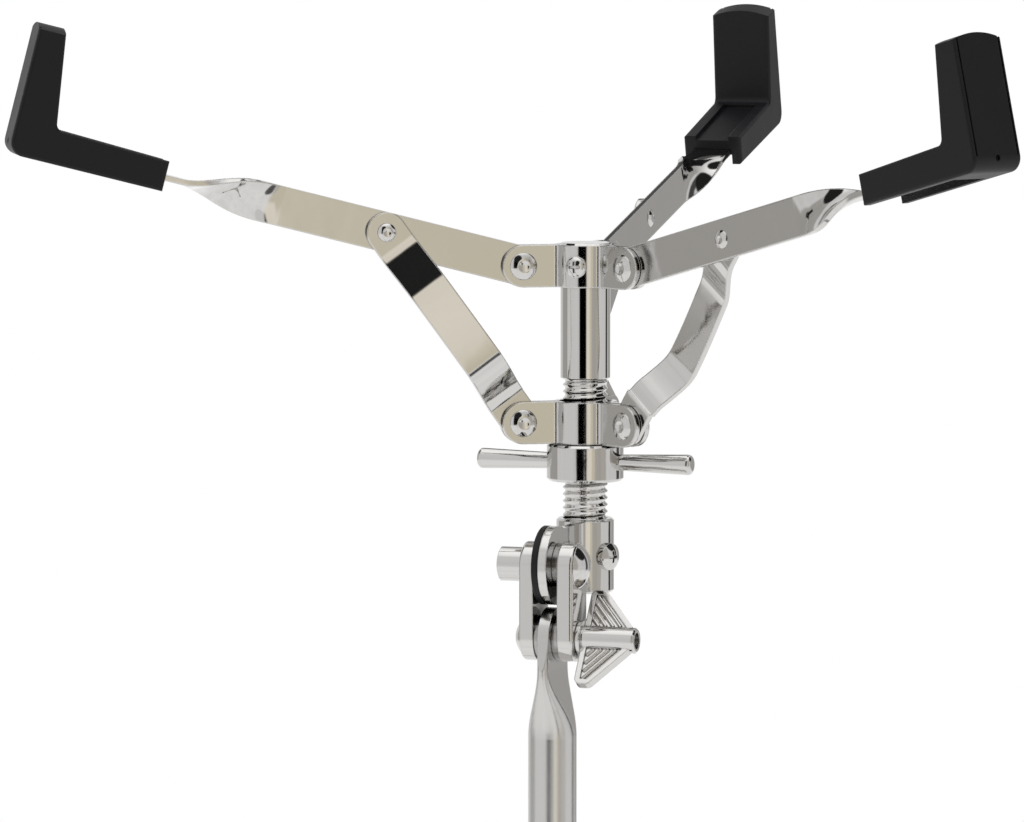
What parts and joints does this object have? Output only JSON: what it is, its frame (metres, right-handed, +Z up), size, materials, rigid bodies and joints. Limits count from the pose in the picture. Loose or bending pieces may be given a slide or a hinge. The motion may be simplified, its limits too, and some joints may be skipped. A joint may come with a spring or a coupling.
{
  "type": "snare drum stand",
  "caption": "Chromed snare drum stand: rubber-tipped folding basket arms on a threaded rod, a tilter, a height-adjustable tube and a folding strut-braced tripod.",
  "frame": {"origin": "on the axis of the base tube at floor level", "axes": "+Z up along the base tube; +X along the tilter bolts towards the wing nut; +Y from the base tube towards the basket rod"},
  "size_m": [0.4346, 0.4938, 0.5826],
  "materials": {
    "rubber": "matt",
    "nylon": "satin",
    "cap_plastic": "satin",
    "washer": "satin",
    "cast_chrome": "polished",
    "plated_fastener": "polished",
    "rod_chrome": "polished",
    "sheet_chrome": "polished"
  },
  "bodies": {
    "base": {"base_tube": "sheet_chrome", "base_tube_cap": "cap_plastic", "height_clamp": "cast_chrome", "strut_collar": "cast_chrome", "strut_collar_pin": "plated_fastener", "strut_collar_rivets": "plated_fastener"},
    "clamp_screw": {"height_wing_screw": "cast_chrome"},
    "bush": {"height_bush": "nylon"},
    "mast": {"upper_tube": "sheet_chrome"},
    "tilter": {"tilter_cheek_left": "cast_chrome", "tilter_cheek_right": "cast_chrome", "tilter_washers": "washer", "tilter_friction_disc": "nylon", "tilter_pivot_bolt": "plated_fastener", "tilter_pivot_nut": "plated_fastener", "tilter_clamp_bolt": "plated_fastener"},
    "tilter_wing": {"tilter_wing_nut": "cast_chrome"},
    "basket": {"rod_socket": "cast_chrome", "socket_set_screw": "plated_fastener", "threaded_rod": "rod_chrome", "upper_hub_plate_1": "sheet_chrome", "upper_hub_plate_2": "sheet_chrome", "upper_hub_plate_3": "sheet_chrome", "upper_hub_screws": "plated_fastener", "upper_hub_rivets": "plated_fastener"},
    "lower_hub": {"lower_hub_plate_1": "sheet_chrome", "lower_hub_plate_2": "sheet_chrome", "lower_hub_plate_3": "sheet_chrome", "lower_hub_rivets": "plated_fastener"},
    "nut": {"basket_nut": "cast_chrome", "basket_nut_handles": "sheet_chrome"},
    "collar": {"leg_collar": "cast_chrome", "leg_collar_rivets": "plated_fastener"},
    "collar_screw": {"leg_collar_wing_screw": "cast_chrome"},
    "arm_1": {"arm_1": "sheet_chrome", "arm_tip_1": "rubber", "arm_brace_rivet_1": "plated_fastener"},
    "brace_1": {"brace_1": "sheet_chrome"},
    "leg_1": {"leg_1": "sheet_chrome", "leg_foot_1": "rubber", "leg_strut_rivet_1": "plated_fastener"},
    "strut_1": {"leg_strut_1": "sheet_chrome"},
    "arm_2": {"arm_2": "sheet_chrome", "arm_tip_2": "rubber", "arm_brace_rivet_2": "plated_fastener"},
    "brace_2": {"brace_2": "sheet_chrome"},
    "leg_2": {"leg_2": "sheet_chrome", "leg_foot_2": "rubber", "leg_strut_rivet_2": "plated_fastener"},
    "strut_2": {"leg_strut_2": "sheet_chrome"},
    "arm_3": {"arm_3": "sheet_chrome", "arm_tip_3": "rubber", "arm_brace_rivet_3": "plated_fastener"},
    "brace_3": {"brace_3": "sheet_chrome"},
    "leg_3": {"leg_3": "sheet_chrome", "leg_foot_3": "rubber", "leg_strut_rivet_3": "plated_fastener"},
    "strut_3": {"leg_strut_3": "sheet_chrome"}
  },
  "joints": [
    {"name": "strut_1_fold", "type": "hinge", "parent": "base", "child": "strut_1", "pos_m": [0, -0.024, 0.02848], "axis": [-1, 0, 0], "range_deg": [0, 55]},
    {"name": "leg_1_fold", "type": "hinge", "parent": "strut_1", "child": "leg_1", "pos_m": [0, -0.11407, 0.08048], "axis": [-1, 0, 0], "range_deg": [-110, 0]},
    {"name": "strut_2_fold", "type": "hinge", "parent": "base", "child": "strut_2", "pos_m": [0.02079, 0.012, 0.02848], "axis": [0.5, -0.866, 0], "range_deg": [0, 55]},
    {"name": "leg_2_fold", "type": "hinge", "parent": "strut_2", "child": "leg_2", "pos_m": [0.09878, 0.05703, 0.08048], "axis": [0.5, -0.866, 0], "range_deg": [-110, 0]},
    {"name": "strut_3_fold", "type": "hinge", "parent": "base", "child": "strut_3", "pos_m": [-0.02079, 0.012, 0.02848], "axis": [0.5, 0.866, 0], "range_deg": [0, 55]},
    {"name": "leg_3_fold", "type": "hinge", "parent": "strut_3", "child": "leg_3", "pos_m": [-0.09878, 0.05703, 0.08048], "axis": [0.5, 0.866, 0], "range_deg": [-110, 0]},
    {"name": "collar_level", "type": "hinge", "parent": "leg_1", "child": "collar", "pos_m": [0, -0.024, 0.13248], "axis": [-1, 0, 0], "range_deg": [0, 55]},
    {"name": "collar_screw_turn", "type": "hinge", "parent": "collar", "child": "collar_screw", "pos_m": [-0.02079, -0.012, 0.13248], "axis": [-0.866, -0.5, 0], "range_deg": [-360, 360]},
    {"name": "clamp_screw_turn", "type": "hinge", "parent": "base", "child": "clamp_screw", "pos_m": [0.02079, -0.012, 0.27368], "axis": [0.866, -0.5, 0], "range_deg": [-360, 360]},
    {"name": "mast_swivel", "type": "hinge", "parent": "base", "child": "bush", "pos_m": [0, 0, 0.28168], "axis": [0, 0, 1], "range_deg": [-180, 180]},
    {"name": "mast_height", "type": "slide", "parent": "bush", "child": "mast", "axis": [0, 0, 1], "range_m": [-0.03, 0.08]},
    {"name": "tilter_lower", "type": "hinge", "parent": "mast", "child": "tilter", "pos_m": [0, 0, 0.36168], "axis": [1, 0, 0], "range_deg": [-35, 35]},
    {"name": "tilter_upper", "type": "hinge", "parent": "tilter", "child": "basket", "pos_m": [0, 0, 0.38768], "axis": [1, 0, 0], "range_deg": [-15, 40]},
    {"name": "tilter_wing_turn", "type": "hinge", "parent": "tilter", "child": "tilter_wing", "pos_m": [0.02, 0, 0.36168], "axis": [1, 0, 0], "range_deg": [-180, 360]},
    {"name": "nut_turn", "type": "hinge", "parent": "lower_hub", "child": "nut", "pos_m": [0, 0.037, 0.42843], "axis": [0, 0, 1], "range_deg": [-1441, 1801]},
    {"name": "lower_hub_slide", "type": "slide", "parent": "basket", "child": "lower_hub", "axis": [0, 0, 1], "range_m": [-0.01, 0.0125]},
    {"name": "arm_1_hinge", "type": "hinge", "parent": "basket", "child": "arm_1", "pos_m": [0, 0.0605, 0.49328], "axis": [1, 0, 0], "range_deg": [-14.13, 17.66]},
    {"name": "brace_1_hinge", "type": "hinge", "parent": "arm_1", "child": "brace_1", "pos_m": [0, 0.11067, 0.50617], "axis": [1, 0, 0], "range_deg": [-13.96, 11.17]},
    {"name": "arm_2_hinge", "type": "hinge", "parent": "basket", "child": "arm_2", "pos_m": [-0.02035, 0.02525, 0.49328], "axis": [-0.5, 0.866, 0], "range_deg": [-14.13, 17.66]},
    {"name": "brace_2_hinge", "type": "hinge", "parent": "arm_2", "child": "brace_2", "pos_m": [-0.0638, 0.00016, 0.50617], "axis": [-0.5, 0.866, 0], "range_deg": [-13.96, 11.17]},
    {"name": "arm_3_hinge", "type": "hinge", "parent": "basket", "child": "arm_3", "pos_m": [0.02035, 0.02525, 0.49328], "axis": [-0.5, -0.866, 0], "range_deg": [-14.13, 17.66]},
    {"name": "brace_3_hinge", "type": "hinge", "parent": "arm_3", "child": "brace_3", "pos_m": [0.0638, 0.00016, 0.50617], "axis": [-0.5, -0.866, 0], "range_deg": [-13.96, 11.17]}
  ],
  "couplings": [
    {"joint": "nut_turn", "follows": "lower_hub_slide", "rad_per_m": 2513.3},
    {"joint": "arm_1_hinge", "follows": "lower_hub_slide", "rad_per_m": 24.65},
    {"joint": "brace_1_hinge", "follows": "lower_hub_slide", "rad_per_m": -19.475},
    {"joint": "arm_2_hinge", "follows": "lower_hub_slide", "rad_per_m": 24.65},
    {"joint": "brace_2_hinge", "follows": "lower_hub_slide", "rad_per_m": -19.475},
    {"joint": "arm_3_hinge", "follows": "lower_hub_slide", "rad_per_m": 24.65},
    {"joint": "brace_3_hinge", "follows": "lower_hub_slide", "rad_per_m": -19.475},
    {"joint": "strut_2_fold", "follows": "strut_1_fold", "ratio": 1},
    {"joint": "strut_3_fold", "follows": "strut_1_fold", "ratio": 1},
    {"joint": "leg_1_fold", "follows": "strut_1_fold", "ratio": -2},
    {"joint": "leg_2_fold", "follows": "strut_1_fold", "ratio": -2},
    {"joint": "leg_3_fold", "follows": "strut_1_fold", "ratio": -2},
    {"joint": "collar_level", "follows": "strut_1_fold", "ratio": 1}
  ]
}
